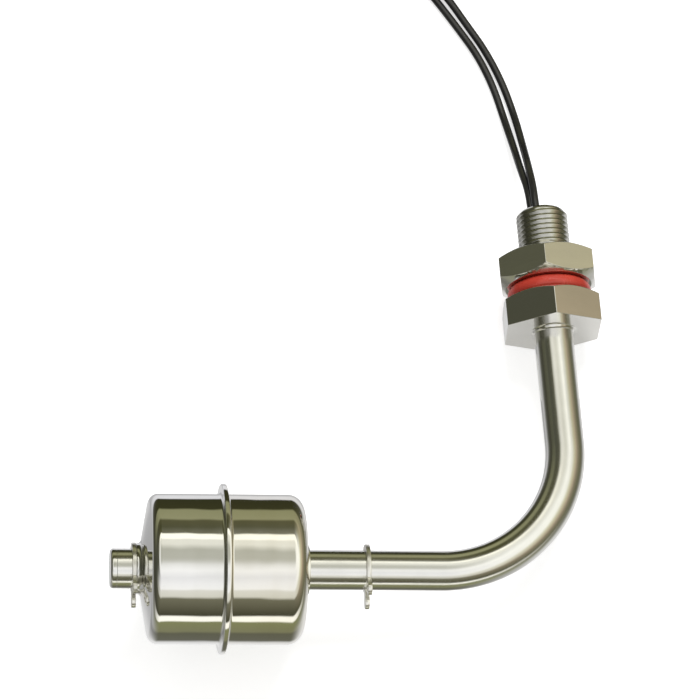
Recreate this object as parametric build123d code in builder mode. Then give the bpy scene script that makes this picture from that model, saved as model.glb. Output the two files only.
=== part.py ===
from build123d import *
from math import asin, cos, degrees, pi, radians, sin, sqrt, tan
import os

# Small float level switch for the side wall of a tank. A steel stem is bent to an L:
# a float slides on its long leg between two circlips, and its short leg is welded into
# a hexagon with a threaded nipple, a seal and a lock nut.
# Millimetres. The origin is the centre of the hexagon's sealing face, +Y runs out along
# the thread and +Z is up. The switch lies on a surface, on one corner of its hexagon and
# on the rim of its float, so the plane of the L is tipped about the thread's axis.

# Stem
stem_diameter = 7.5
stem_wall = 0.65
stem_bend_radius = 24.5
over_bend = 2.8             # degrees that the L closes past the square
corner_depth = 55.0         # sealing face to the point where the axes of both legs meet
leg_length = 88.0           # that point to the closed tip
plug_cap = 1.2
plug_spigot = 2.6
plug_chamfer = 0.5

# Circlips and their grooves
tip_clip_inset = 4.4        # closed tip to the middle of the clip
clip_thickness = 0.8
clip_back_width = 1.45
clip_front_width = 0.85
clip_lug_radius = 1.25
clip_lug_rise = 2.35        # stem's wall to the centre of a lug's hole
clip_lug_half_angle = 24.0
clip_lug_hole = 1.1
clip_turn = 14.0            # degrees that the lugs are turned up from the level
groove_depth = 0.3
groove_play = 0.05

# Fitting
hex_across_flats = 18.0
hex_thickness = 6.4
hex_corner_drop = 1.7       # how far a cone cuts the corners back at the sealing face
thread_diameter = 9.9
nipple_length = 18.5
nipple_chamfer = 0.9
nipple_bore = 6.4
socket_depth = 10.0
weld_bead = 0.8
nut_thickness = 6.2
nut_turn = -6.0             # degrees that the nut is turned from the hexagon
nut_bore_play = 0.06        # radial, the nut on the thread
nut_corner_drop = 2.1       # the same at both faces of the nut
cone_angle = 30.0
seal_section = 3.1
seal_flat = 0.12
seat_play = 0.02            # between parts that seat in one another and stay put

# Float
float_diameter = 28.0
float_rim_diameter = 31.8
float_half_length = 16.1
float_wall = 0.3
float_lip = 0.5
float_dome_depth = 2.5
float_shoulder_radius = 2.2
float_neck_radius = 0.8
float_collar_length = 0.7
float_bore_play = 0.35      # radial, the float on the stem
float_core_wall = 0.3
float_end_play = 0.1        # between the float and a clip it has come up to
float_travel = 10.5
magnet_diameter = 13.0
magnet_length = 5.0
magnet_shift = -4.0         # from the float's middle, towards the bend
magnet_collar = 0.8
magnet_collar_diameter = 11.4

# Reed switch
reed_shift = -7.4           # middle of the capsule from the float's middle, towards the bend
capsule_diameter = 2.3
capsule_length = 14.0
capsule_wall = 0.35
capsule_seal = 2.0
blade_width = 1.0
blade_thickness = 0.22
blade_overlap = 1.4
blade_gap = 0.12
blade_wire = 0.5
blade_tail = 4.0
hairpin_reach = 8.5         # capsule end to the straight before the tip blade's hairpin
hairpin_radius = 1.1
joint_return = 4.0          # hairpin back to the soldered joint
sleeve_wall = 0.22
sleeve_overhang = 0.5
solder_sleeve_length = 6.0
solder_sleeve_wall = 0.25
inside_gap = 0.17           # between the pieces that share the stem's bore

# Leads
lead_diameter = 1.5
lead_core = 0.8
lead_end_length = 5.0
exit_gap = 0.13             # between the leads in the resin
potting_length = 5.0
potting_recess = 0.6
jog_clear = 3.5             # straight run behind the resin
jog_length = 7.0
lead_straight = 5.0         # straight out of the resin

# Put-away coil
coil_centre = (-11.2, 83.2)
coil_turn_gap = 0.1
coil_layer_gap = 0.05
coil_outer_turn = 11.0      # radius of the outermost turn
coil_columns = 3.2          # turn pitches from the outermost to the innermost turn
coil_layers = 4
coil_slack = 0.1
tie_width = 2.2
tie_thickness = 0.5
tie_play = 0.12

# Sizes and places that follow
stem_radius = stem_diameter / 2
stem_bore = stem_radius - stem_wall
hex_corner = hex_across_flats / sqrt(3)
thread_radius = thread_diameter / 2
lead_radius = lead_diameter / 2
bend = radians(over_bend)
floor = -hex_corner
lip_height = float_rim_diameter / 2
tip_clip_at = leg_length - tip_clip_inset
clip_lug_reach = stem_radius + clip_lug_rise
float_core_bore = stem_radius + float_bore_play
float_core_radius = float_core_bore + float_core_wall
flange_at = tip_clip_at - clip_thickness / 2 - float_end_play - float_half_length
float_room = 2 * float_half_length + float_travel + 2 * float_end_play
stop_clip_at = tip_clip_at - clip_thickness - float_room

# Inside the stem the long lead lies beside the capsule, both clear of the wall
capsule_radius = capsule_diameter / 2
capsule_sleeve_bore = capsule_radius + seat_play
solder_sleeve_bore = lead_radius + seat_play
reed_at = flange_at + reed_shift
lead_a_offset = stem_bore - inside_gap - solder_sleeve_wall - solder_sleeve_bore
reed_offset = lead_a_offset - lead_radius - inside_gap - sleeve_wall - capsule_sleeve_bore

# The leads' places in the resin: towards the tip and down, from the thread's axis
exit_pitch = lead_diameter + exit_gap
lead_a_exit = (1.07 * exit_pitch, 0.37 * exit_pitch)
lead_b_exit = (0.67 * exit_pitch, -0.55 * exit_pitch)
coil_turn_pitch = lead_diameter + coil_turn_gap
coil_layer_pitch = lead_diameter + coil_layer_gap

# The tip of the L is raised until the float's rim and the hexagon's lowest corner touch
# the same level: rim_out * sin(lie) - lip_height * sqrt(1 - (cos(bend) * sin(lie))^2)
# equals -hex_corner, solved here for sin(lie).
rim_out = flange_at * cos(bend)
quad = rim_out**2 + (lip_height * cos(bend)) ** 2
lie = asin(
    (sqrt((hex_corner * rim_out) ** 2 - quad * (hex_corner**2 - lip_height**2)) - hex_corner * rim_out)
    / quad
)

thread_plane = Plane(origin=(0, 0, 0), x_dir=(0, 1, 0), z_dir=(1, 0, 0))
thread_axis = Axis.Y

# In the stem's plane x runs towards the tip and y along the thread, z is nearly straight down
stem_plane = Plane(origin=(0, 0, 0), x_dir=(-cos(lie), 0, sin(lie)), z_dir=(-sin(lie), 0, -cos(lie)))
leg_origin = stem_plane.from_local_coords((0, -corner_depth, 0))
leg_direction = stem_plane.x_dir * cos(bend) + stem_plane.y_dir * sin(bend)

# In the leg's plane x runs from the corner point to the tip and y to the inside of the bend
leg_plane = Plane(origin=leg_origin, x_dir=leg_direction, z_dir=stem_plane.z_dir)
leg_axis = Axis(leg_plane.origin, leg_plane.x_dir)
reed_plane = Plane(
    origin=leg_plane.from_local_coords((reed_at, reed_offset, 0)),
    x_dir=leg_plane.x_dir,
    z_dir=leg_plane.z_dir,
)
reed_axis = Axis(reed_plane.origin, reed_plane.x_dir)


def across_leg(along, offset=0.0):
    """Plane square to the leg, its x towards the inside of the bend."""
    origin = leg_plane.from_local_coords((along, offset, 0))
    return Plane(origin=origin, x_dir=leg_plane.y_dir, z_dir=leg_plane.x_dir)


def in_stem(along_leg, offset=0.0):
    """Point of the stem's plane, given along and beside the leg."""
    return (
        along_leg * cos(bend) - offset * sin(bend),
        -corner_depth + along_leg * sin(bend) + offset * cos(bend),
    )


def bend_corner(offset):
    """Where a line beside the thread's axis meets one equally far beside the leg."""
    return in_stem(offset * (1 + sin(bend)) / cos(bend), offset)


def corner_radii(points, share=0.45):
    """Largest soft radius at each inner point of a cord's route."""
    points = [Vector(point) for point in points]
    radii = []
    for before, here, after in zip(points, points[1:], points[2:]):
        shorter = min((here - before).length, (after - here).length)
        half_turn = radians((here - before).get_angle(after - here)) / 2
        radii.append(share * shorter / tan(half_turn))
    return radii


def start_plane(path):
    """Plane square to a path at its start."""
    return Plane(origin=path @ 0, z_dir=path % 0)


# Stem: a tube along both legs and the bend, with a groove for each clip
stem_top = socket_depth - hex_thickness
with BuildPart() as stem_tube:
    with BuildLine(stem_plane) as stem_path:
        FilletPolyline(
            (0, stem_top), (0, -corner_depth), in_stem(leg_length - plug_cap), radius=stem_bend_radius
        )
    with BuildSketch(start_plane(stem_path.line)):
        Circle(stem_radius)
        Circle(stem_bore, mode=Mode.SUBTRACT)
    sweep(path=stem_path.line)
    groove_width = clip_thickness + 2 * groove_play
    for clip_at in (tip_clip_at, stop_clip_at):
        with BuildSketch(across_leg(clip_at - groove_width / 2)):
            Circle(stem_radius + 1)
            Circle(stem_radius - groove_depth, mode=Mode.SUBTRACT)
        extrude(amount=groove_width, mode=Mode.SUBTRACT)

# Cap at the tip, with a spigot inside the tube
with BuildPart() as tip_plug:
    with BuildSketch(across_leg(leg_length - plug_cap)):
        Circle(stem_radius)
    extrude(amount=plug_cap)
    chamfer(edges().sort_by(leg_axis)[-1], plug_chamfer)
    with BuildSketch(across_leg(leg_length - plug_cap)):
        Circle(stem_bore - seat_play)
    extrude(amount=-plug_spigot)


def circlip(along):
    """Circlip: an eccentric ring, open between two drilled lugs."""
    with BuildPart() as clip:
        inner = stem_radius - groove_depth + seat_play
        outer = inner + (clip_back_width + clip_front_width) / 2
        shift = (clip_back_width - clip_front_width) / 2
        lug_angles = [180 + clip_turn + side * clip_lug_half_angle for side in (-1, 1)]
        lug_spots = [Vector(clip_lug_reach, 0).rotate(Axis.Z, angle) for angle in lug_angles]
        with BuildSketch(across_leg(along - clip_thickness / 2)):
            with Locations(Vector(shift, 0).rotate(Axis.Z, clip_turn)):
                Circle(outer)
            for angle, spot in zip(lug_angles, lug_spots):
                with Locations(spot):
                    Circle(clip_lug_radius)
                with Locations(Location(spot / 2, (0, 0, angle))):
                    Rectangle(clip_lug_reach, 2 * clip_lug_radius)
            Circle(inner, mode=Mode.SUBTRACT)
            with Locations(Location(Vector(clip_lug_reach, 0).rotate(Axis.Z, 180 + clip_turn), (0, 0, clip_turn))):
                Rectangle(2 * clip_lug_reach - 2, 1.9 * clip_lug_radius, mode=Mode.SUBTRACT)
            with Locations(*lug_spots):
                Circle(clip_lug_hole / 2, mode=Mode.SUBTRACT)
        extrude(amount=clip_thickness)
    return clip


tip_clip = circlip(tip_clip_at)
stop_clip = circlip(stop_clip_at)

# Fitting: hexagon, nipple and weld bead turned in one piece, with a socket for the stem
socket_radius = stem_radius + seat_play
with BuildPart() as mounting_stud:
    with BuildSketch(Plane(origin=(0, -hex_thickness, 0), x_dir=(0, 0, 1), z_dir=(0, 1, 0))):
        RegularPolygon(hex_across_flats / 2, 6, major_radius=False)
    extrude(amount=hex_thickness)
    hex_cone_rise = hex_corner_drop * tan(radians(cone_angle))
    with BuildSketch(thread_plane):
        with BuildLine():
            Polyline(
                (-hex_thickness, 0),
                (-hex_thickness, hex_corner),
                (-hex_cone_rise, hex_corner),
                (0, hex_corner - hex_corner_drop),
                (0, 0),
                close=True,
            )
        make_face()
    revolve(axis=thread_axis, mode=Mode.INTERSECT)
    with BuildSketch(thread_plane):
        with BuildLine():
            Polyline(
                (-hex_thickness / 2, 0),
                (-hex_thickness / 2, thread_radius),
                (nipple_length - nipple_chamfer, thread_radius),
                (nipple_length, thread_radius - nipple_chamfer),
                (nipple_length, 0),
                close=True,
            )
        make_face()
    revolve(axis=thread_axis)
    bead_reach = weld_bead * cos(pi / 4)
    with BuildSketch(thread_plane):
        with BuildLine():
            Polyline(
                (-hex_thickness, socket_radius + weld_bead),
                (-hex_thickness + 1, socket_radius + weld_bead),
                (-hex_thickness + 1, socket_radius),
                (-hex_thickness - weld_bead, socket_radius),
            )
            ThreePointArc(
                (-hex_thickness - weld_bead, socket_radius),
                (-hex_thickness - bead_reach, socket_radius + bead_reach),
                (-hex_thickness, socket_radius + weld_bead),
            )
        make_face()
    revolve(axis=thread_axis)
    with BuildSketch(thread_plane):
        with BuildLine():
            Polyline(
                (-hex_thickness - 2 * weld_bead, 0),
                (-hex_thickness - 2 * weld_bead, socket_radius),
                (stem_top, socket_radius),
                (stem_top, nipple_bore / 2),
                (nipple_length + 1, nipple_bore / 2),
                (nipple_length + 1, 0),
                close=True,
            )
        make_face()
    revolve(axis=thread_axis, mode=Mode.SUBTRACT)

# Seal: a ring of round section, flattened a little where it meets the hexagon and the nut
seal_inner = thread_radius + seat_play
seal_seat = seal_section - 2 * seal_flat
with BuildPart() as seal_ring:
    with BuildSketch(thread_plane):
        with Locations((seal_seat / 2, seal_inner + seal_section / 2)):
            Circle(seal_section / 2)
            Rectangle(seal_seat, seal_section + 1, mode=Mode.INTERSECT)
    revolve(axis=thread_axis)

# Lock nut, its corners cut back by a cone at both faces
nut_at = seal_seat + seat_play
with BuildPart() as lock_nut:
    with BuildSketch(Plane(origin=(0, nut_at, 0), x_dir=(0, 0, 1), z_dir=(0, 1, 0))):
        RegularPolygon(hex_across_flats / 2, 6, major_radius=False, rotation=nut_turn)
        Circle(thread_radius + nut_bore_play, mode=Mode.SUBTRACT)
    extrude(amount=nut_thickness)
    cone_edge = hex_corner - nut_corner_drop
    cone_rise = nut_corner_drop * tan(radians(cone_angle))
    with BuildSketch(thread_plane):
        with BuildLine():
            Polyline(
                (nut_at, 0),
                (nut_at, cone_edge),
                (nut_at + cone_rise, hex_corner),
                (nut_at + nut_thickness - cone_rise, hex_corner),
                (nut_at + nut_thickness, cone_edge),
                (nut_at + nut_thickness, 0),
                close=True,
            )
        make_face()
    revolve(axis=thread_axis, mode=Mode.INTERSECT)


def half_shell(side):
    """Drawn half of the float: lip at the seam, cylinder, shoulder, dome and collar."""
    with BuildPart() as shell:
        mid = float_wall / 2
        collar = float_core_radius + seat_play + mid
        shell_radius = float_diameter / 2
        dome_start = float_half_length - float_collar_length - float_dome_depth
        outline = [
            (mid, (shell_radius + lip_height) / 2),
            (mid, shell_radius - mid),
            (dome_start, shell_radius - mid),
            (dome_start + float_dome_depth, collar),
            (float_half_length, collar),
        ]
        points = [(flange_at + side * along, height) for along, height in outline]
        with BuildSketch(leg_plane):
            with BuildLine():
                FilletPolyline(*points, radius=[float_wall, float_shoulder_radius, float_neck_radius])
            trace(line_width=float_wall)
            lip_middle = (shell_radius - float_wall + lip_height) / 2
            with Locations((flange_at + side * float_lip / 2, lip_middle)):
                Rectangle(float_lip, lip_height - shell_radius + float_wall)
        revolve(axis=leg_axis)
    return shell


float_shell_tip = half_shell(1)
float_shell_bend = half_shell(-1)


def float_ring(middle, length, inner_radius, outer_radius):
    """Ring about the leg, placed from the float's middle."""
    with BuildPart() as ring:
        with BuildSketch(across_leg(flange_at + middle - length / 2)):
            Circle(outer_radius)
            Circle(inner_radius, mode=Mode.SUBTRACT)
        extrude(amount=length)
    return ring


float_core_tube = float_ring(0, 2 * float_half_length, float_core_bore, float_core_radius)

on_core = float_core_radius + seat_play
collar_step = (magnet_length + magnet_collar) / 2 + seat_play
collar_radius = magnet_collar_diameter / 2
float_magnet = float_ring(magnet_shift, magnet_length, on_core, magnet_diameter / 2)
magnet_collar_tip = float_ring(magnet_shift + collar_step, magnet_collar, on_core, collar_radius)
magnet_collar_bend = float_ring(magnet_shift - collar_step, magnet_collar, on_core, collar_radius)

# Reed capsule: a glass tube closed round the wires of its two blades
capsule_end = capsule_length / 2
with BuildPart() as reed_capsule:
    with BuildSketch(reed_plane):
        with BuildLine():
            Polyline(
                (-capsule_end, 0),
                (-capsule_end, capsule_radius),
                (capsule_end, capsule_radius),
                (capsule_end, 0),
                close=True,
            )
        make_face()
        corners = vertices().group_by(Axis.Y)[-1]
        fillet(corners, capsule_radius / 2)
    revolve(axis=reed_axis)
    with BuildSketch(reed_plane):
        with BuildLine():
            Polyline(
                (-capsule_end + capsule_seal, 0),
                (-capsule_end + capsule_seal, capsule_radius - capsule_wall),
                (capsule_end - capsule_seal, capsule_radius - capsule_wall),
                (capsule_end - capsule_seal, 0),
                close=True,
            )
        make_face()
    revolve(axis=reed_axis, mode=Mode.SUBTRACT)
    with BuildSketch(across_leg(reed_at - capsule_length, reed_offset)):
        Circle(blade_wire / 2)
    extrude(amount=2 * capsule_length, mode=Mode.SUBTRACT)


def blade_spot(side):
    """Middle of a contact blade's side view, in the reed's plane."""
    start = blade_overlap / 2
    end = capsule_end - capsule_seal - blade_wire
    return side * (end - start) / 2, side * (blade_gap + blade_thickness) / 2


blade_length = capsule_end - capsule_seal - blade_wire + blade_overlap / 2
blade_start_plane = reed_plane.offset(-blade_width / 2)
joint_b_at = reed_at - capsule_end - blade_tail
with BuildPart() as reed_blade_bend:
    with BuildSketch(blade_start_plane):
        with Locations(blade_spot(-1)):
            Rectangle(blade_length, blade_thickness)
    extrude(amount=blade_width)
    with BuildSketch(across_leg(joint_b_at, reed_offset)):
        Circle(blade_wire / 2)
    extrude(amount=blade_tail + capsule_seal + blade_width)

# The tip blade's wire turns back in a hairpin to the joint with the long lead
hairpin_at = reed_at + capsule_end + hairpin_reach
joint_a_at = hairpin_at - joint_return
with BuildPart() as reed_blade_tip:
    with BuildSketch(blade_start_plane):
        with Locations(blade_spot(1)):
            Rectangle(blade_length, blade_thickness)
    extrude(amount=blade_width)
    wire_start = reed_at + capsule_end - capsule_seal - blade_width
    with BuildLine(stem_plane) as hairpin:
        FilletPolyline(
            in_stem(wire_start, reed_offset),
            in_stem(hairpin_at, reed_offset),
            in_stem(hairpin_at, lead_a_offset),
            in_stem(joint_a_at, lead_a_offset),
            radius=hairpin_radius,
        )
    with BuildSketch(start_plane(hairpin.line)):
        Circle(blade_wire / 2)
    sweep(path=hairpin.line)

with BuildPart() as reed_sleeve:
    sleeve_length = capsule_length + 2 * sleeve_overhang
    with BuildSketch(across_leg(reed_at - sleeve_length / 2, reed_offset)):
        Circle(capsule_sleeve_bore + sleeve_wall)
        Circle(capsule_sleeve_bore, mode=Mode.SUBTRACT)
    extrude(amount=sleeve_length)


def solder_sleeve(along, offset):
    """Sleeve over a soldered joint, half on the lead."""
    with BuildPart() as sleeve:
        with BuildSketch(across_leg(along - solder_sleeve_length / 2, offset)):
            Circle(solder_sleeve_bore + solder_sleeve_wall)
            Circle(solder_sleeve_bore, mode=Mode.SUBTRACT)
        extrude(amount=solder_sleeve_length)
    return sleeve


solder_sleeve_bend = solder_sleeve(joint_b_at, reed_offset)
solder_sleeve_tip = solder_sleeve(joint_a_at, lead_a_offset)


# Leads inside: from the joints round the bend, then aside to their holes in the resin
potting_face = nipple_length - potting_recess
potting_back = potting_face - potting_length
jog_end = potting_back - jog_clear
jog_start = jog_end - jog_length


def inside_lead(joint_at, offset, exit_offset):
    """Lead from its joint to the resin's outer face."""
    with BuildPart() as lead:
        aside, down = exit_offset
        points = [
            (aside, potting_face, down),
            (aside, jog_end, down),
            (offset, jog_start, 0),
            (*bend_corner(offset), 0),
            (*in_stem(joint_at, offset), 0),
        ]
        jog_radii = corner_radii(points)[:2]
        with BuildLine(stem_plane) as route:
            FilletPolyline(*points, radius=[*jog_radii, stem_bend_radius - offset])
        with BuildSketch(start_plane(route.line)):
            Circle(lead_radius)
        sweep(path=route.line)
    return lead


lead_a_inside = inside_lead(joint_a_at, lead_a_offset, lead_a_exit)
lead_b_inside = inside_lead(joint_b_at, reed_offset, lead_b_exit)

# Resin that fills the nipple's mouth round both leads
mouth_plane = Plane(origin=(0, potting_back, 0), x_dir=stem_plane.x_dir, z_dir=(0, 1, 0))
with BuildPart() as potting_plug:
    with BuildSketch(mouth_plane):
        Circle(nipple_bore / 2 - seat_play)
        for aside, down in (lead_a_exit, lead_b_exit):
            with Locations((aside, -down)):
                Circle(lead_radius + seat_play, mode=Mode.SUBTRACT)
    extrude(amount=potting_length)

# Leads outside, as (x, y, height above the surface). They drop to it, run side by side
# in a curve and draw slightly apart, then go into the coil.
tie_lift = tie_thickness
lead_a_route = [
    (-2.8, 29.0, 7.6),
    (-3.3, 36.0, 2.9),
    (-4.4, 43.0, lead_radius),
    (-5.9, 50.2, lead_radius),
    (-8.4, 57.2, lead_radius),
    (-11.6, 63.0, lead_radius),
    (-15.4, 69.5, lead_radius),
    (-17.9, 73.2, lead_radius + 0.1),
    (-20.4, 77.0, lead_radius + tie_lift),
]
lead_b_route = [
    (-1.4, 29.6, 8.6),
    (-1.6, 36.6, 3.4),
    (-2.3, 43.6, lead_radius),
    (-4.1, 51.1, lead_radius),
    (-6.9, 58.4, lead_radius),
    (-10.1, 64.2, lead_radius),
    (-13.0, 69.6, lead_radius + 0.15),
    (-15.6, 72.6, 2.0),
    (-18.6, 75.6, lead_radius + tie_lift + coil_layer_pitch),
]


def exit_point(offset):
    """Centre of a lead where it leaves the resin."""
    aside, down = offset
    return stem_plane.from_local_coords((aside, potting_face, down))


def cord(points, name):
    """Round cord along straight runs and large arcs."""
    with BuildPart() as tube:
        radii = corner_radii(points)
        print(name, "radii", [round(radius, 1) for radius in radii])
        with BuildLine() as route:
            FilletPolyline(*points, radius=radii)
        with BuildSketch(start_plane(route.line)):
            Circle(lead_radius)
        sweep(path=route.line)
    length = sum(edge.length for edge in route.edges())
    share = tube.part.volume / (pi * lead_radius**2 * length)
    print(name, "length", round(length, 1), "volume over section times length", round(share, 4))
    return tube


def above_floor(route):
    """Route points with their height taken from the surface."""
    return [Vector(x, y, floor + height) for x, y, height in route]


def from_exit(offset, route):
    """Whole route outside: straight out of the resin, then its chosen points."""
    start = exit_point(offset)
    return [start, start + Vector(0, lead_straight, 0), *above_floor(route)]


lead_a = cord(from_exit(lead_a_exit, lead_a_route), "lead_a")
lead_b = cord(from_exit(lead_b_exit, lead_b_route), "lead_b")

# Coil: both leads wound together, one outline for all their turns
coil_outer = coil_outer_turn + lead_radius + coil_slack
coil_inner = coil_outer_turn - coil_columns * coil_turn_pitch + coil_turn_pitch - lead_radius - coil_slack
coil_height = (coil_layers - 1) * coil_layer_pitch + lead_diameter + coil_slack
coil_x, coil_y = coil_centre
coil_plane = Plane(origin=(coil_x, coil_y, floor), x_dir=(1, 0, 0), z_dir=(0, -1, 0))
coil_axis = Axis((coil_x, coil_y, floor), (0, 0, 1))
coil_width = coil_outer - coil_inner
coil_middle = (coil_outer + coil_inner) / 2
with BuildPart() as lead_coil:
    with BuildSketch(coil_plane):
        with Locations((coil_middle, tie_lift + coil_height / 2)):
            RectangleRounded(coil_width, coil_height, lead_radius)
    revolve(axis=coil_axis)

with BuildPart() as coil_tie:
    with BuildSketch(coil_plane.offset(-tie_width / 2)):
        with Locations((coil_middle, tie_lift + coil_height / 2)):
            RectangleRounded(
                coil_width + 2 * (tie_play + tie_thickness),
                coil_height + 2 * tie_thickness,
                lead_radius + tie_thickness,
            )
            RectangleRounded(coil_width + 2 * tie_play, coil_height, lead_radius, mode=Mode.SUBTRACT)
    extrude(amount=tie_width)

# Free tails past the coil, down to the surface, with their stripped ends
tail_y = coil_y + coil_outer_turn
upper_layer = lead_radius + tie_lift + 2 * coil_layer_pitch
lead_a_tail_route = [
    (coil_x + 4.2, tail_y, upper_layer),
    (coil_x + 9.0, tail_y + 0.2, 2.4),
    (coil_x + 13.6, tail_y - 0.4, lead_radius),
    (coil_x + 17.6, tail_y - 1.6, lead_radius),
]
lead_b_tail_route = [
    (coil_x + 4.2, tail_y, upper_layer + coil_layer_pitch),
    (coil_x + 8.0, tail_y + 0.8, 5.3),
    (coil_x + 12.0, tail_y + 2.0, 2.5),
    (coil_x + 16.0, tail_y + 2.5, lead_radius),
    (coil_x + 20.1, tail_y + 2.6, lead_radius),
]

lead_a_tail = cord(above_floor(lead_a_tail_route), "lead_a_tail")
lead_b_tail = cord(above_floor(lead_b_tail_route), "lead_b_tail")


def bare_end(route):
    """Stripped core, straight on from a lead's last run."""
    with BuildPart() as core:
        before, last = above_floor(route)[-2:]
        with BuildSketch(Plane(origin=last, z_dir=last - before)):
            Circle(lead_core / 2)
        extrude(amount=lead_end_length)
    return core


lead_end_a = bare_end(lead_a_tail_route)
lead_end_b = bare_end(lead_b_tail_route)

pieces = {
    "stem_tube": stem_tube,
    "tip_plug": tip_plug,
    "tip_clip": tip_clip,
    "stop_clip": stop_clip,
    "mounting_stud": mounting_stud,
    "seal_ring": seal_ring,
    "lock_nut": lock_nut,
    "potting_plug": potting_plug,
    "float_shell_tip": float_shell_tip,
    "float_shell_bend": float_shell_bend,
    "float_core_tube": float_core_tube,
    "float_magnet": float_magnet,
    "magnet_collar_tip": magnet_collar_tip,
    "magnet_collar_bend": magnet_collar_bend,
    "reed_capsule": reed_capsule,
    "reed_blade_tip": reed_blade_tip,
    "reed_blade_bend": reed_blade_bend,
    "reed_sleeve": reed_sleeve,
    "solder_sleeve_tip": solder_sleeve_tip,
    "solder_sleeve_bend": solder_sleeve_bend,
    "lead_a_inside": lead_a_inside,
    "lead_b_inside": lead_b_inside,
    "lead_a": lead_a,
    "lead_b": lead_b,
    "lead_coil": lead_coil,
    "coil_tie": coil_tie,
    "lead_a_tail": lead_a_tail,
    "lead_b_tail": lead_b_tail,
    "lead_end_a": lead_end_a,
    "lead_end_b": lead_end_b,
}

os.makedirs("parts", exist_ok=True)
for name, piece in pieces.items():
    piece.part.label = name
    export_step(piece.part, f"parts/{name}.step")

print("lie", round(degrees(lie), 3), "degrees, float travel", round(float_travel, 3))
print("surface", round(floor, 4))
print("leg origin", leg_plane.origin, "leg direction", leg_plane.x_dir)
print("lead exits", exit_point(lead_a_exit), exit_point(lead_b_exit))
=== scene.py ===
from math import asin, atan2, cos, hypot, pi, radians, sin, tan

import bmesh
import bpy
from mathutils import Matrix, Vector


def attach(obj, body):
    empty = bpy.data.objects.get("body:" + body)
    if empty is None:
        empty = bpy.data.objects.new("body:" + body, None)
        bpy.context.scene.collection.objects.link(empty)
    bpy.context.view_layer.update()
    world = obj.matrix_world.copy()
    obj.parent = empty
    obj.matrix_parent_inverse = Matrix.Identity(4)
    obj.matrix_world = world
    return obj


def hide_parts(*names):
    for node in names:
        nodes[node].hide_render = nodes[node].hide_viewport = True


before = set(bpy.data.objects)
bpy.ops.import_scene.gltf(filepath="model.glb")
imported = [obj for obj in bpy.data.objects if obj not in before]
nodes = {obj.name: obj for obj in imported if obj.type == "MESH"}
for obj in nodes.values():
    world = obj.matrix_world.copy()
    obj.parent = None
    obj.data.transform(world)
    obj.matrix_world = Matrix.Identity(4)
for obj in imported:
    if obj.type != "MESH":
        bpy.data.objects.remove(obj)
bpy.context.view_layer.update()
scene = bpy.context.scene

# Sizes below are in millimetres, and every shape is made in metres by this scale
MM = 0.001
surface = -10.3923

# ---------------------------------------------------------------- camera
look_at = Vector((-39.164, -7.424, 0)) * MM
bearing, climb, lean = radians(-8.666), radians(68.515), radians(4.48)
away = Vector((sin(bearing) * cos(climb), -cos(bearing) * cos(climb), sin(climb)))
level_right = Vector((cos(bearing), sin(bearing), 0))
level_up = away.cross(level_right)
right = level_right * cos(lean) + level_up * sin(lean)
up = level_up * cos(lean) - level_right * sin(lean)
camera_data = bpy.data.cameras.new("camera")
camera_data.lens = 242.05
camera_data.clip_start = 0.01
camera = bpy.data.objects.new("camera", camera_data)
scene.collection.objects.link(camera)
camera.matrix_world = Matrix.Translation(look_at + away * 0.9) @ Matrix((right, up, away)).transposed().to_4x4()
scene.camera = camera

# ---------------------------------------------------------------- places
# Local x runs along the thread (away from the float) or along the stem's long leg (to its tip)
lie, over_bend = radians(4.676), radians(2.8)
along_thread = Matrix(((0, 0, 1, 0), (1, 0, 0, 0), (0, 1, 0, 0), (0, 0, 0, 1)))
thread_place = Matrix.Scale(MM, 4) @ along_thread
stem_side = Vector((-cos(lie), 0, sin(lie)))
leg_down = Vector((-sin(lie), 0, -cos(lie)))
leg_way = stem_side * cos(over_bend) + Vector((0, 1, 0)) * sin(over_bend)
leg_inside = leg_down.cross(leg_way)
corner = Vector((0, -55, 0))
leg_turn = Matrix((leg_way, leg_inside, leg_down)).transposed().to_4x4()
leg_place = Matrix.Scale(MM, 4) @ Matrix.Translation(corner) @ leg_turn
tip_clip_at, stop_clip_at, flange_at, leg_end = 83.6, 39.9, 67.0, 88.0


# ---------------------------------------------------------------- finishes
def new_group(name, inputs, outputs):
    """Shader node group with named inputs and outputs."""
    group = bpy.data.node_groups.new(name, "ShaderNodeTree")
    for label, kind, value in inputs:
        socket = group.interface.new_socket(label, in_out="INPUT", socket_type=kind)
        if value is not None:
            socket.default_value = value
    for label, kind in outputs:
        group.interface.new_socket(label, in_out="OUTPUT", socket_type=kind)
    entry = group.nodes.new("NodeGroupInput")
    leave = group.nodes.new("NodeGroupOutput")
    return group, entry.outputs, leave.inputs


def calc(tree, operation, *values):
    """Maths node fed with sockets or numbers."""
    node = tree.nodes.new("ShaderNodeMath")
    node.operation = operation
    for socket, value in zip(node.inputs, values):
        if isinstance(value, bpy.types.NodeSocket):
            tree.links.new(value, socket)
        else:
            socket.default_value = value
    return node.outputs[0]


def spread(tree, value, low, high, to_low, to_high):
    """Maps a value's range onto another, kept inside it."""
    node = tree.nodes.new("ShaderNodeMapRange")
    tree.links.new(value, node.inputs["Value"])
    for label, number in (("From Min", low), ("From Max", high), ("To Min", to_low), ("To Max", to_high)):
        if isinstance(number, bpy.types.NodeSocket):
            tree.links.new(number, node.inputs[label])
        else:
            node.inputs[label].default_value = number
    return node.outputs["Result"]


def grain(tree, vector, scale, detail=3.0, roughness=0.5):
    """Noise on a vector."""
    node = tree.nodes.new("ShaderNodeTexNoise")
    tree.links.new(vector, node.inputs["Vector"])
    if isinstance(scale, bpy.types.NodeSocket):
        tree.links.new(scale, node.inputs["Scale"])
    else:
        node.inputs["Scale"].default_value = scale
    node.inputs["Detail"].default_value = detail
    node.inputs["Roughness"].default_value = roughness
    return node.outputs["Fac"]


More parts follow.
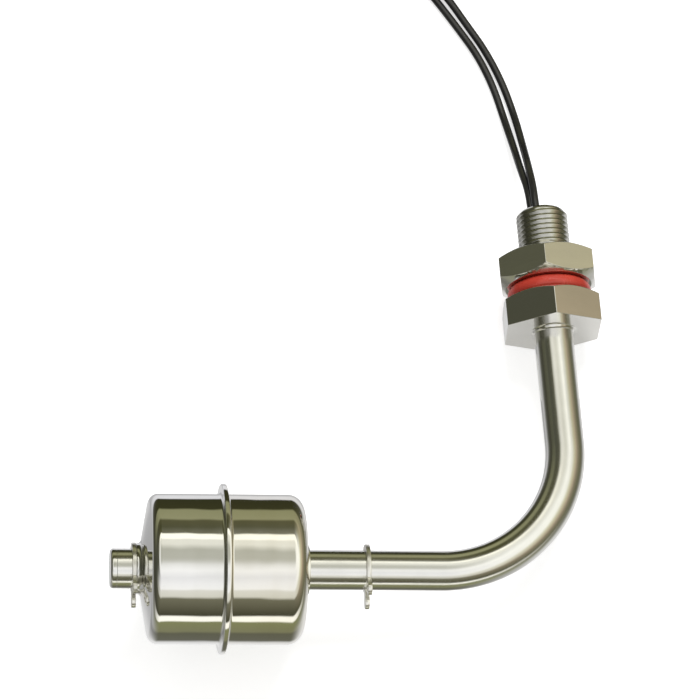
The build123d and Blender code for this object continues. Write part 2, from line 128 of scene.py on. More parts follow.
def blend_colours(tree, share, first, second):
    """Mix of two colours, by a share from 0 to 1."""
    node = tree.nodes.new("ShaderNodeMix")
    node.data_type = "RGBA"
    tree.links.new(share, node.inputs["Factor"])
    for socket, colour in ((node.inputs["A"], first), (node.inputs["B"], second)):
        pass
    for label, colour in (("A", first), ("B", second)):
        socket = [s for s in node.inputs if s.name == label and s.type == "RGBA"][0]
        if isinstance(colour, bpy.types.NodeSocket):
            tree.links.new(colour, socket)
        else:
            socket.default_value = (*colour, 1)
    return [s for s in node.outputs if s.type == "RGBA"][0]


def polishing_lines():
    """Fine lines that a polishing wheel leaves, on a vector stretched across them."""
    group, inputs, outputs = new_group(
        "polishing lines",
        [("Vector", "NodeSocketVector", None), ("Lines", "NodeSocketFloat", 900.0)],
        [("Height", "NodeSocketFloat"), ("Haze", "NodeSocketFloat")],
    )
    fine = grain(group, inputs["Vector"], inputs["Lines"], 2.0)
    broad = grain(group, inputs["Vector"], calc(group, "MULTIPLY", inputs["Lines"], 0.13), 3.0)
    both = calc(group, "ADD", calc(group, "MULTIPLY", fine, 0.6), calc(group, "MULTIPLY", broad, 0.4))
    group.links.new(both, outputs["Height"])
    group.links.new(spread(group, broad, 0.42, 0.66, 0.0, 1.0), outputs["Haze"])
    return group


def hairline_scratches():
    """Sparse crooked scratches, as a mask."""
    group, inputs, outputs = new_group(
        "hairline scratches",
        [
            ("Vector", "NodeSocketVector", None),
            ("Size", "NodeSocketFloat", 90.0),
            ("Width", "NodeSocketFloat", 0.006),
        ],
        [("Mask", "NodeSocketFloat")],
    )
    field = grain(group, inputs["Vector"], inputs["Size"], 1.0, 0.4)
    ridge = calc(group, "ABSOLUTE", calc(group, "SUBTRACT", field, 0.5))
    line = spread(group, ridge, 0.0, inputs["Width"], 1.0, 0.0)
    gate = grain(group, inputs["Vector"], calc(group, "MULTIPLY", inputs["Size"], 2.6), 2.0)
    group.links.new(calc(group, "MULTIPLY", line, spread(group, gate, 0.5, 0.62, 0.0, 1.0)), outputs["Mask"])
    return group


def handling_marks():
    """Cloudy patches left by fingers and wiping, with small specks of dust."""
    group, inputs, outputs = new_group(
        "handling marks",
        [("Vector", "NodeSocketVector", None), ("Size", "NodeSocketFloat", 60.0), ("Specks", "NodeSocketFloat", 900.0)],
        [("Cloud", "NodeSocketFloat"), ("Speck", "NodeSocketFloat")],
    )
    cloud = grain(group, inputs["Vector"], inputs["Size"], 5.0, 0.62)
    group.links.new(spread(group, cloud, 0.38, 0.7, 0.0, 1.0), outputs["Cloud"])
    cells = group.nodes.new("ShaderNodeTexVoronoi")
    group.links.new(inputs["Vector"], cells.inputs["Vector"])
    group.links.new(inputs["Specks"], cells.inputs["Scale"])
    dots = spread(group, cells.outputs["Distance"], 0.05, 0.14, 1.0, 0.0)
    gate = spread(group, cloud, 0.5, 0.62, 0.0, 1.0)
    group.links.new(calc(group, "MULTIPLY", dots, gate), outputs["Speck"])
    return group


lines_group = polishing_lines()
scratch_group = hairline_scratches()
marks_group = handling_marks()


def place_group(tree, group, vector, **values):
    """Group node fed by a vector, with its own values."""
    node = tree.nodes.new("ShaderNodeGroup")
    node.node_tree = group
    tree.links.new(vector, node.inputs["Vector"])
    for label, value in values.items():
        node.inputs[label].default_value = value
    return node.outputs


def new_finish(name, **sockets):
    """Material with its constants set on the shader's own sockets."""
    finish = bpy.data.materials.new(name)
    finish.use_nodes = True
    shader = finish.node_tree.nodes["Principled BSDF"]
    for label, value in sockets.items():
        socket = shader.inputs[label.replace("_", " ")]
        socket.default_value = (*value, 1) if socket.type == "RGBA" else value
    return finish, finish.node_tree, shader.inputs


def object_vector(tree, stretch=(1, 1, 1), turn=(0, 0, 0)):
    """Object coordinates, turned, then stretched."""
    coords = tree.nodes.new("ShaderNodeTexCoord")
    turned = tree.nodes.new("ShaderNodeMapping")
    turned.inputs["Rotation"].default_value = turn
    scaled = tree.nodes.new("ShaderNodeMapping")
    scaled.inputs["Scale"].default_value = stretch
    tree.links.new(coords.outputs["Object"], turned.inputs["Vector"])
    tree.links.new(turned.outputs["Vector"], scaled.inputs["Vector"])
    return scaled.outputs["Vector"]


def bump(tree, height, shader, strength, distance):
    """Bump from a height, into the shader's normal."""
    node = tree.nodes.new("ShaderNodeBump")
    node.inputs["Strength"].default_value = strength
    node.inputs["Distance"].default_value = distance
    tree.links.new(height, node.inputs["Height"])
    tree.links.new(node.outputs["Normal"], shader["Normal"])
    return node


def bright_steel(name, bright, dull, low, high, line_stretch, lines, line_depth, turn=(0, 0, 0), waves=0.0):
    """Stainless steel: polishing lines, hairline scratches and wiping marks over a clear reflection."""
    finish, tree, shader = new_finish(name, Metallic=1.0)
    plain = object_vector(tree)
    drawn = object_vector(tree, line_stretch, turn)
    line = place_group(tree, lines_group, drawn, Lines=lines)
    mark = place_group(tree, marks_group, plain, Size=75.0, Specks=1400.0)
    scratch = place_group(tree, scratch_group, plain, Size=120.0, Width=0.004)
    worn = calc(tree, "ADD", calc(tree, "MULTIPLY", mark["Cloud"], 0.6), calc(tree, "MULTIPLY", line["Haze"], 0.4))
    tree.links.new(blend_colours(tree, worn, bright, dull), shader["Base Color"])
    rough = calc(tree, "ADD", worn, calc(tree, "MULTIPLY", scratch["Mask"], 0.8))
    rough = calc(tree, "ADD", rough, calc(tree, "MULTIPLY", mark["Speck"], 0.6))
    tree.links.new(spread(tree, rough, 0.0, 1.6, low, high), shader["Roughness"])
    height = calc(tree, "SUBTRACT", line["Height"], calc(tree, "MULTIPLY", scratch["Mask"], 0.5))
    surface_lines = bump(tree, height, shader, line_depth, 0.00002)
    if waves:
        drawn_sheet = tree.nodes.new("ShaderNodeBump")
        drawn_sheet.inputs["Strength"].default_value = 1.0
        drawn_sheet.inputs["Distance"].default_value = waves
        tree.links.new(grain(tree, plain, 130.0, 1.0), drawn_sheet.inputs["Height"])
        tree.links.new(drawn_sheet.outputs["Normal"], surface_lines.inputs["Normal"])
    return finish


def leg_lines_turn():
    """Turn that brings the leg's direction onto x, so that lines can run round it."""
    return leg_turn.to_3x3().inverted().to_euler()


polished_steel = bright_steel(
    "polished steel", (0.90, 0.895, 0.87), (0.82, 0.815, 0.79), 0.14, 0.28, (1, 1, 1), 700.0, 0.08, waves=0.00004
)
float_steel = bright_steel(
    "float steel", (0.91, 0.905, 0.89), (0.84, 0.835, 0.81), 0.03, 0.12, (1, 0.04, 0.04), 1500.0, 0.07, leg_lines_turn(), 0.00011
)
# Warmer copy of the float steel for the bend's half: its warm tint is a painted reflection, standing in for the khaki
# surroundings this half mirrors
painted_reflection_steel = bright_steel(
    "float steel, painted warm reflection", (0.91, 0.895, 0.855), (0.85, 0.825, 0.76), 0.04, 0.14, (1, 0.04, 0.04), 1500.0, 0.08, leg_lines_turn(), 0.00013
)
turned_steel = bright_steel(
    "turned steel", (0.86, 0.85, 0.82), (0.76, 0.745, 0.71), 0.08, 0.26, (0.05, 1, 0.05), 1800.0, 0.18
)
thread_steel = bright_steel(
    "thread steel", (0.68, 0.675, 0.64), (0.46, 0.455, 0.41), 0.04, 0.16, (0.05, 1, 0.05), 1800.0, 0.12
)
clip_steel = bright_steel(
    "clip steel", (0.95, 0.935, 0.89), (0.80, 0.785, 0.73), 0.26, 0.46, (1, 1, 1), 1100.0, 0.15
)


def plastic(name, bright, dark, low, high, size, depth, **sockets):
    """Plastic or rubber: faint mottling, small pits and a slightly uneven sheen."""
    finish, tree, shader = new_finish(name, **sockets)
    vector = object_vector(tree)
    mark = place_group(tree, marks_group, vector, Size=size, Specks=size * 12)
    fine = grain(tree, vector, size * 18, 3.0, 0.6)
    tree.links.new(blend_colours(tree, mark["Cloud"], dark, bright), shader["Base Color"])
    uneven = calc(tree, "ADD", calc(tree, "MULTIPLY", mark["Cloud"], 0.6), calc(tree, "MULTIPLY", fine, 0.4))
    tree.links.new(spread(tree, uneven, 0.1, 0.9, low, high), shader["Roughness"])
    bump(tree, calc(tree, "SUBTRACT", fine, mark["Speck"]), shader, depth, 0.00003)
    return finish


red_silicone = plastic(
    "red silicone", (0.64, 0.060, 0.036), (0.49, 0.040, 0.024), 0.2, 0.34, 130.0, 0.2, Specular_IOR_Level=0.7
)
black_lead = plastic(
    "black lead",
    (0.017, 0.017, 0.018),
    (0.008, 0.008, 0.009),
    0.26,
    0.42,
    160.0,
    0.18,
    Specular_IOR_Level=0.7,
    Coat_Weight=0.6,
    Coat_Roughness=0.12,
)
dark_resin = plastic(
    "dark resin", (0.022, 0.021, 0.020), (0.010, 0.010, 0.010), 0.16, 0.40, 220.0, 0.35, Specular_IOR_Level=0.5
)
black_nylon = plastic(
    "black nylon", (0.022, 0.022, 0.023), (0.013, 0.013, 0.014), 0.38, 0.56, 180.0, 0.3, Specular_IOR_Level=0.45
)
shrink_sleeve = plastic(
    "shrink sleeve", (0.03, 0.03, 0.034), (0.018, 0.018, 0.02), 0.42, 0.6, 240.0, 0.4, Specular_IOR_Level=0.4
)
white_sleeve = plastic(
    "white sleeve", (0.78, 0.77, 0.72), (0.66, 0.65, 0.60), 0.40, 0.58, 200.0, 0.3, Specular_IOR_Level=0.4
)
collar_plastic = plastic(
    "collar plastic", (0.80, 0.79, 0.75), (0.70, 0.69, 0.64), 0.36, 0.5, 150.0, 0.25, Specular_IOR_Level=0.45
)
ferrite = plastic(
    "sintered ferrite", (0.055, 0.053, 0.052), (0.03, 0.029, 0.029), 0.48, 0.74, 320.0, 0.8, Specular_IOR_Level=0.4
)
tinned_copper = bright_steel(
    "tinned copper", (0.80, 0.78, 0.73), (0.66, 0.62, 0.55), 0.18, 0.42, (1, 1, 1), 1600.0, 0.3
)
blade_metal = bright_steel(
    "blade metal", (0.62, 0.60, 0.56), (0.52, 0.50, 0.46), 0.2, 0.4, (1, 1, 1), 1800.0, 0.25
)


def capsule_glass():
    """Clear, faintly green glass."""
    finish, tree, shader = new_finish(
        "capsule glass", Metallic=0.0, Transmission_Weight=1.0, IOR=1.5, Specular_IOR_Level=0.5
    )
    vector = object_vector(tree)
    mark = place_group(tree, marks_group, vector, Size=180.0, Specks=2000.0)
    tree.links.new(
        blend_colours(tree, mark["Cloud"], (0.80, 0.93, 0.84), (0.72, 0.88, 0.78)), shader["Base Color"]
    )
    tree.links.new(spread(tree, mark["Cloud"], 0.0, 1.0, 0.02, 0.09), shader["Roughness"])
    return finish


clear_glass = capsule_glass()

node_finishes = {
    "stem_tube": polished_steel,
    "tip_plug": polished_steel,
    "tip_clip": clip_steel,
    "stop_clip": clip_steel,
    "mounting_stud": turned_steel,
    "seal_ring": red_silicone,
    "lock_nut": turned_steel,
    "potting_plug": dark_resin,
    "float_shell_tip": float_steel,
    "float_shell_bend": painted_reflection_steel,
    "float_core_tube": polished_steel,
    "float_magnet": ferrite,
    "magnet_collar_tip": collar_plastic,
    "magnet_collar_bend": collar_plastic,
    "reed_capsule": clear_glass,
    "reed_blade_tip": blade_metal,
    "reed_blade_bend": blade_metal,
    "reed_sleeve": white_sleeve,
    "solder_sleeve_tip": shrink_sleeve,
    "solder_sleeve_bend": shrink_sleeve,
    "lead_a_inside": black_lead,
    "lead_b_inside": black_lead,
    "lead_a": black_lead,
    "lead_b": black_lead,
    "lead_coil": black_lead,
    "coil_tie": black_nylon,
    "lead_a_tail": black_lead,
    "lead_b_tail": black_lead,
    "lead_end_a": tinned_copper,
    "lead_end_b": tinned_copper,
}
for name, finish in node_finishes.items():
    nodes[name].material_slots[0].material = finish

# ---------------------------------------------------------------- leads
lead_radius = 0.75
coil_x, coil_y = -11.2, 83.2
lead_a_start = (-1.78746, 17.9, -0.458925)
lead_b_start = (-1.01539, 17.9, 0.982538)
lead_a_route = [
    (-2.8, 29.0, 7.6),
    (-3.3, 36.0, 2.9),
    (-4.4, 43.0, 0.75),
    (-5.9, 50.2, 0.75),
    (-8.4, 57.2, 0.75),
    (-11.6, 63.0, 0.75),
    (-15.4, 69.5, 0.75),
    (-17.9, 73.2, 0.85),
    (-20.4, 77.0, 1.25),
]
lead_b_route = [
    (-1.4, 29.6, 8.6),
    (-1.6, 36.6, 3.4),
    (-2.3, 43.6, 0.75),
    (-4.1, 51.1, 0.75),
    (-6.9, 58.4, 0.75),
    (-10.1, 64.2, 0.75),
    (-13.0, 69.6, 0.9),
    (-15.6, 72.6, 2.0),
    (-18.6, 75.6, 2.8),
]
lead_a_tail = [
    (coil_x + 4.2, coil_y + 11.0, 4.35),
    (coil_x + 9.0, coil_y + 11.2, 2.4),
    (coil_x + 13.6, coil_y + 10.6, 0.75),
    (coil_x + 17.6, coil_y + 9.4, 0.75),
]
lead_b_tail = [
    (coil_x + 4.2, coil_y + 11.0, 5.9),
    (coil_x + 8.0, coil_y + 11.8, 5.3),
    (coil_x + 12.0, coil_y + 13.0, 2.5),
    (coil_x + 16.0, coil_y + 13.5, 0.75),
    (coil_x + 20.1, coil_y + 13.6, 0.75),
]


def coil_turns(lower, upper, shift):
    """Points of the coil: in along the lower turns, up at the middle, out along the upper turns."""
    turns, first = 4 + 125 / 360, radians(215)
    count = 70
    points = []
    for number in range(1, count + 1):
        turned = (number - shift) * turns / count
        inward = min(turned, turns - turned)
        radius = (11.0 - 1.6 * inward) / cos(pi * turns / count)
        rise = min(1, max(0, (turned - turns / 2 + 0.13) / 0.26))
        height = lower + (upper - lower) * rise * rise * (3 - 2 * rise)
        angle = first - 2 * pi * turned
        points.append((coil_x + radius * cos(angle), coil_y + radius * sin(angle), height))
    return points


def lead(name, start, route, turns, tail):
    """Lead as one smooth spline: straight out of the resin, down, into the coil and out again."""
    above = [(x, y, surface + height) for x, y, height in route + turns + tail]
    points = [start, (start[0], start[1] + 5.0, start[2]), *above]
    curve = bpy.data.curves.new(name, "CURVE")
    curve.dimensions = "3D"
    curve.bevel_depth = lead_radius * MM
    curve.bevel_resolution = 5
    curve.resolution_u = 8
    curve.use_fill_caps = True
    spline = curve.splines.new("NURBS")
    spline.points.add(len(points) - 1)
    for point, spot in zip(spline.points, points):
        point.co = (*(Vector(spot) * MM), 1)
    spline.order_u = 3
    spline.use_endpoint_u = True
    curve.materials.append(black_lead)
    piece = bpy.data.objects.new(name, curve)
    scene.collection.objects.link(piece)
    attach(piece, "switch")
    return piece


black_lead_a = lead("black_lead_a", lead_a_start, lead_a_route, coil_turns(1.25, 4.35, 0), lead_a_tail)
black_lead_b = lead("black_lead_b", lead_b_start, lead_b_route, coil_turns(2.8, 5.9, 0.5), lead_b_tail)
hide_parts("lead_a", "lead_coil", "lead_a_tail")
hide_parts("lead_b", "lead_coil", "lead_b_tail")


# ---------------------------------------------------------------- shapes
def make_piece(name, shape, place, finish, body, stands_for, sharp=32):
    """Object from a shape made in millimetres, riding on a body in place of a CAD node."""
    bmesh.ops.transform(shape, matrix=place, verts=shape.verts)
    bmesh.ops.recalc_face_normals(shape, faces=shape.faces)
    mesh = bpy.data.meshes.new(name)
    shape.to_mesh(mesh)
    shape.free()
    mesh.shade_smooth()
    mesh.set_sharp_from_angle(angle=radians(sharp))
    mesh.materials.append(finish)
    piece = bpy.data.objects.new(name, mesh)
    scene.collection.objects.link(piece)
    even = piece.modifiers.new("even shading", "WEIGHTED_NORMAL")
    even.weight = 100
    even.keep_sharp = True
    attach(piece, body)
    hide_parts(stands_for)
    return piece


def outline(shape, points, rounding):
    """Closed outline in the xy plane, with some of its corners rounded."""
    spots = [shape.verts.new((x, y, 0)) for x, y in points]
    for pair in zip(spots, spots[1:] + spots[:1]):
        shape.edges.new(pair)
    for number, (size, steps) in rounding.items():
        bmesh.ops.bevel(
            shape, geom=[spots[number]], offset=size, segments=steps, profile=0.5, affect="VERTICES", material=-1
        )
    bmesh.ops.remove_doubles(shape, verts=shape.verts, dist=0.002)


def turn_round(shape, steps):
    """Spins the outline about x into a closed turned shape."""
    bmesh.ops.spin(
        shape,
        geom=shape.verts[:] + shape.edges[:],
        axis=(1, 0, 0),
        cent=(0, 0, 0),
        angle=2 * pi,
        steps=steps,
        use_merge=True,
    )
    bmesh.ops.remove_doubles(shape, verts=shape.verts, dist=0.001)


def turned(points, rounding, steps=128):
    """Turned shape with its axis on x."""
    shape = bmesh.new()
    outline(shape, points, rounding)
    turn_round(shape, steps)
    return shape


def softened(node, width, segments=2, sharp=25):
    """Copy of a CAD node with its edges broken."""
    shape = bmesh.new()
    shape.from_mesh(nodes[node].data)
    bmesh.ops.transform(shape, matrix=Matrix.Scale(1 / MM, 4), verts=shape.verts)
    bmesh.ops.remove_doubles(shape, verts=shape.verts, dist=0.0005)
    bmesh.ops.dissolve_limit(shape, angle_limit=radians(0.6), verts=shape.verts, edges=shape.edges)
    edges = [e for e in shape.edges if len(e.link_faces) == 2 and e.calc_face_angle(0) > radians(sharp)]
    bmesh.ops.bevel(
        shape, geom=edges, offset=width, segments=segments, profile=0.5, affect="EDGES", clamp_overlap=True, material=-1
    )
    return shape


whole = Matrix.Scale(MM, 4)

# Float: two drawn halves, each with its lip at the seam; the bend's half has the rounder shoulder
tip_end = [(13.7, 14.0), (15.35, 4.72), (16.1, 4.72), (16.1, 4.42), (15.1, 4.42), (13.45, 13.7)]
tip_rounding = {3: (1.5, 10), 4: (0.8, 6), 5: (0.12, 2), 8: (1.3, 6)}
bend_end = [(14.9, 14.0), (15.35, 4.72), (16.1, 4.72), (16.1, 4.42), (15.1, 4.42), (14.6, 13.7)]
bend_rounding = {3: (2.7, 14), 4: (0.6, 6), 5: (0.12, 2), 8: (2.4, 8)}
for side, ending, metal, end_line, end_rounding in (
    (1, "tip", float_steel, tip_end, tip_rounding),
    (-1, "bend", painted_reflection_steel, bend_end, bend_rounding),
):
    half = turned(
        [(0.0, 15.9), (0.5, 15.9), (0.5, 14.0), *end_line, (0.0, 13.7)],
        {1: (0.2, 3), 2: (0.55, 5), **end_rounding},
        160,
    )
    if side < 0:
        bmesh.ops.scale(half, vec=(-1, 1, 1), verts=half.verts)
    bmesh.ops.translate(half, vec=(flange_at, 0, 0), verts=half.verts)
    make_piece(
        f"float_half_{ending}", half, leg_place, metal, "float", f"float_shell_{ending}"
    )

# Stem: a tube drawn along the short leg, round the bend and along the long leg
stem_radius = 3.75
bend_radius = 24.5
bend_angle = radians(90) + over_bend
tangent = bend_radius * tan(bend_angle / 2)
stem = bmesh.new()
upright = Matrix.Translation((0, 3.2, 0)) @ Matrix.Rotation(radians(90), 4, "X")
ring = bmesh.ops.create_circle(stem, cap_ends=False, segments=72, radius=stem_radius, matrix=upright)["verts"]
open_end = list({edge for vert in ring for edge in vert.link_edges})


def draw_on(shape, edges, move=(0, 0, 0), size=1.0, about=(0, 0, 0)):
    """Extrudes an open end, moves it and sizes it, and gives the new end."""
    grown = bmesh.ops.extrude_edge_only(shape, edges=edges)["geom"]
    verts = [part for part in grown if isinstance(part, bmesh.types.BMVert)]
    bmesh.ops.translate(shape, vec=move, verts=verts)
    if size != 1.0:
        bmesh.ops.scale(shape, vec=(size, size, size), verts=verts, space=Matrix.Translation(-Vector(about)))
    return [part for part in grown if isinstance(part, bmesh.types.BMEdge)]


open_end = draw_on(stem, open_end, (0, -0.3, 0))
open_end = draw_on(stem, open_end, (0, -0.3, 0))
open_end = draw_on(stem, open_end, (0, -55 + tangent - 2.6, 0))
bend_middle = stem_side * bend_radius + Vector((0, tangent - 55, 0))
grown = bmesh.ops.spin(
    stem, geom=open_end, axis=leg_down, cent=bend_middle, angle=bend_angle, steps=72, use_duplicate=False
)["geom_last"]
open_end = [part for part in grown if isinstance(part, bmesh.types.BMEdge)]
reached = tangent
for clip_at in (stop_clip_at, tip_clip_at):
    for edge_at, to_radius in ((clip_at - 0.45, 3.45), (clip_at + 0.45, 3.75)):
        open_end = draw_on(stem, open_end, leg_way * (edge_at - reached))
        reached = edge_at
        spot = corner + leg_way * reached
        size = to_radius / (3.75 if to_radius < 3.6 else 3.45)
        open_end = draw_on(stem, open_end, size=size, about=spot)
open_end = draw_on(stem, open_end, leg_way * (86.6 - reached))
open_end = draw_on(stem, open_end, leg_way * 0.1)
draw_on(stem, open_end, leg_way * 0.1)
for edge in stem.edges:
    edge.smooth = not edge.is_boundary
stem_piece = make_piece(
    "bent_stem", stem, whole, polished_steel, "switch", "stem_tube", 40
)
stem_piece.modifiers.remove(stem_piece.modifiers["even shading"])
wall = stem_piece.modifiers.new("wall", "SOLIDIFY")
wall.thickness = 0.65 * MM
wall.offset = -1

# Cap at the tip, welded and dressed round
cap = turned(
    [(84.2, 0), (84.2, 3.08), (86.82, 3.08), (86.82, 3.75), (88.0, 3.75), (88.0, 0)],
    {4: (0.55, 6)},
    96,
)
make_piece("tip_cap", cap, leg_place, polished_steel, "switch", "tip_plug")

# Clips
for node in ("tip_clip", "stop_clip"):
    make_piece(
        node + "_ring", softened(node, 0.09), whole, clip_steel, "switch", node
    )

# Fitting: hexagon with broken edges, weld bead and threaded nipple
hex_depth, nipple_end = 6.4, 18.5
stud = softened("mounting_stud", 0.3, 3)
bmesh.ops.bisect_plane(
    stud,
    geom=stud.verts[:] + stud.edges[:] + stud.faces[:],
    plane_co=(0, 0.1, 0),
    plane_no=(0, 1, 0),
    clear_outer=True,
)
bmesh.ops.bisect_plane(
    stud,
    geom=stud.verts[:] + stud.edges[:] + stud.faces[:],
    plane_co=(0, -hex_depth - 0.02, 0),
    plane_no=(0, -1, 0),
    clear_outer=True,
)
for level in (0.1, -hex_depth - 0.02):
    rim = [edge for edge in stud.edges if all(abs(vert.co.y - level) < 1e-3 for vert in edge.verts)]
    bmesh.ops.bridge_loops(stud, edges=rim)

pitch, crest, root = 1.0, 4.95, 4.55
steps = 64
thread = bmesh.new()
ridge = [(0, root), (0.04, root), (0.35, crest), (0.65, crest), (0.96, root), (pitch, root)]
rows = [[thread.verts.new((x, radius, 0)) for x, radius in ridge], [thread.verts.new((x, 3.2, 0)) for x in (0, pitch)]]
for row in rows:
    for pair in zip(row, row[1:]):
        thread.edges.new(pair)
turns = 21
bmesh.ops.spin(
    thread,
    geom=thread.verts[:] + thread.edges[:],
    axis=(1, 0, 0),
    cent=(0, 0, 0),
    dvec=(pitch / steps, 0, 0),
    angle=2 * pi * turns,
    steps=steps * turns,
)
bmesh.ops.translate(thread, vec=(-1.4, 0, 0), verts=thread.verts)
bmesh.ops.remove_doubles(thread, verts=thread.verts, dist=0.0005)
for level, way in ((0.0, -1), (nipple_end, 1)):
    bmesh.ops.bisect_plane(
        thread,
        geom=thread.verts[:] + thread.edges[:] + thread.faces[:],
        plane_co=(level, 0, 0),
        plane_no=(way, 0, 0),
        clear_outer=True,
    )
    rim = [edge for edge in thread.edges if all(abs(vert.co.x - level) < 1e-4 for vert in edge.verts)]
    bmesh.ops.bridge_loops(thread, edges=rim)
for vert in thread.verts:
    radius = hypot(vert.co.y, vert.co.z)
    wanted = radius
    if radius > 4:
        wanted = min(radius, 4.08 + 1.0 * (nipple_end - vert.co.x))
    elif vert.co.x < 3.5:
        wanted = 3.77
    vert.co.y *= wanted / radius
    vert.co.z *= wanted / radius
bmesh.ops.transform(thread, matrix=along_thread, verts=thread.verts)
for face in thread.faces:
    face.material_index = 1
thread_mesh = bpy.data.meshes.new("thread")
thread.to_mesh(thread_mesh)
thread.free()
stud.from_mesh(thread_mesh)

bead = turned([(-6.95, 3.76), (-6.85, 3.92), (-6.35, 4.25), (-6.35, 3.76)], {1: (0.12, 3), 2: (0.06, 2)}, 144)
for vert in bead.verts:
    radius = hypot(vert.co.y, vert.co.z)
    if radius > 3.85:
        ripple = 1 + 0.006 * sin(23 * atan2(vert.co.z, vert.co.y)) * (radius - 3.77)
        vert.co.y *= ripple
        vert.co.z *= ripple
bmesh.ops.transform(bead, matrix=along_thread, verts=bead.verts)
bead_mesh = bpy.data.meshes.new("bead")
bead.to_mesh(bead_mesh)
bead.free()
stud.from_mesh(bead_mesh)
fitting = make_piece("hex_fitting", stud, whole, turned_steel, "switch", "mounting_stud")
fitting.data.materials.append(thread_steel)

# Lock nut and seal
make_piece("hex_lock_nut", softened("lock_nut", 0.12), whole, turned_steel, "nut", "lock_nut")
ring = turned(
    [(0.0, 4.97), (2.86, 4.97), (2.86, 8.07), (0.0, 8.07)],
    {0: (1.3, 8), 1: (1.3, 8), 2: (1.35, 10), 3: (1.35, 10)},
    144,
)
make_piece("silicone_ring", ring, thread_place, red_silicone, "switch", "seal_ring")

# Resin in the nipple's mouth, drawn up a little at the steel
resin = turned(
    [(12.92, 0), (12.92, 3.17), (18.12, 3.17), (17.93, 2.75), (17.88, 2.2), (17.88, 0)],
    {3: (0.3, 4), 4: (0.3, 3)},
    96,
)
make_piece("potting_resin", resin, thread_place, dark_resin, "switch", "potting_plug")

# Tie round the coil: the band, its head and the end that was cut off short
tie = softened("coil_tie", 0.12)
for centre, size, edge in (
    ((coil_x + 13.2, coil_y, surface + 3.7), (1.9, 3.4, 3.6), 0.28),
    ((coil_x + 13.3, coil_y, surface + 5.9), (0.9, 2.0, 2.6), 0.12),
):
    head = bmesh.new()
    bmesh.ops.create_cube(head, size=1.0)
    bmesh.ops.scale(head, vec=size, verts=head.verts)
    bmesh.ops.bevel(
        head, geom=head.edges[:], offset=edge, segments=3, profile=0.5, affect="EDGES", clamp_overlap=True, material=-1
    )
    bmesh.ops.translate(head, vec=centre, verts=head.verts)
    head_mesh = bpy.data.meshes.new("tie head")
    head.to_mesh(head_mesh)
    head.free()
    tie.from_mesh(head_mesh)
tie_piece = make_piece("coil_tie_band", tie, whole, black_nylon, "switch", "coil_tie")


def twisted_end(name, stands_for, before, last):
    """Stripped end of a lead: seven tinned strands, twisted."""
    strands = bmesh.new()
    spots = [(0, 0)] + [(0.262 * cos(radians(60 * n)), 0.262 * sin(radians(60 * n))) for n in range(6)]
    for across, rise in spots:
        place = Matrix.Translation((0, across, rise)) @ Matrix.Rotation(radians(90), 4, "Y")
        bmesh.ops.create_circle(strands, cap_ends=True, segments=14, radius=0.134, matrix=place)
    bmesh.ops.spin(
        strands,
        geom=strands.faces[:],
        axis=(1, 0, 0),
        cent=(0, 0, 0),
        dvec=(5.0 / 40, 0, 0),
        angle=radians(330),
        steps=40,
        use_duplicate=False,
    )
    run = (Vector(last) - Vector(before)).normalized()
    turn = run.to_track_quat("X", "Z").to_matrix().to_4x4()
    start = Matrix.Translation((last[0], last[1], last[2] + surface))
    return make_piece(
        name, strands, whole @ start @ turn, tinned_copper, "switch", stands_for, 50
    )


bare_a = twisted_end("bare_end_a", "lead_end_a", *lead_a_tail[-2:])
bare_b = twisted_end("bare_end_b", "lead_end_b", *lead_b_tail[-2:])

# ---------------------------------------------------------------- floor and light
floor_finish, tree, shader = new_finish("white floor", Roughness=0.9, Specular_IOR_Level=0.0)
shader["Base Color"].default_value = (0.86, 0.86, 0.86, 1)
path = tree.nodes.new("ShaderNodeLightPath")
seen = tree.nodes.new("ShaderNodeMath")
seen.operation = "MULTIPLY"
seen.inputs[1].default_value = 0.6
tree.links.new(path.outputs["Is Camera Ray"], seen.inputs[0])
shader["Emission Color"].default_value = (1, 1, 1, 1)
tree.links.new(seen.outputs[0], shader["Emission Strength"])
floor_shape = bmesh.new()
bmesh.ops.create_grid(floor_shape, x_segments=1, y_segments=1, size=3.0)
bmesh.ops.translate(floor_shape, vec=(0, 0, surface * MM - 0.00002), verts=floor_shape.verts)
floor_mesh = bpy.data.meshes.new("floor")
floor_shape.to_mesh(floor_mesh)
floor_shape.free()
floor_mesh.materials.append(floor_finish)
floor = bpy.data.objects.new("floor", floor_mesh)
floor.visible_glossy = False
scene.collection.objects.link(floor)

# White card on the floor under the fitting, which only the polished steel sees
card_finish, tree, shader = new_finish(
    "white card", Roughness=0.9, Specular_IOR_Level=0.0, Base_Color=(0.45, 0.45, 0.45), Emission_Color=(1, 1, 0.98)
)
shader["Emission Strength"].default_value = 0.4
card_shape = bmesh.new()
bmesh.ops.create_grid(card_shape, x_segments=1, y_segments=1, size=0.5)
bmesh.ops.scale(card_shape, vec=(0.026, 0.0095, 1), verts=card_shape.verts)
bmesh.ops.translate(card_shape, vec=(0, -0.0108, surface * MM - 0.00001), verts=card_shape.verts)
card_mesh = bpy.data.meshes.new("card")
card_shape.to_mesh(card_mesh)
card_shape.free()
card_mesh.materials.append(card_finish)
card = bpy.data.objects.new("card", card_mesh)
card.visible_camera = card.visible_diffuse = card.visible_shadow = card.visible_transmission = False
scene.collection.objects.link(card)

key_data = bpy.data.lights.new("key", "AREA")
key_data.shape = "DISK"
key_data.size = 0.45
key_data.energy = 4.5
key = bpy.data.objects.new("key", key_data)
key.location = (0.12, 0.42, 0.72)
key.rotation_euler = (Vector((-0.04, -0.01, 0)) - key.location).to_track_quat("-Z", "Y").to_euler()
key.visible_glossy = False
scene.collection.objects.link(key)

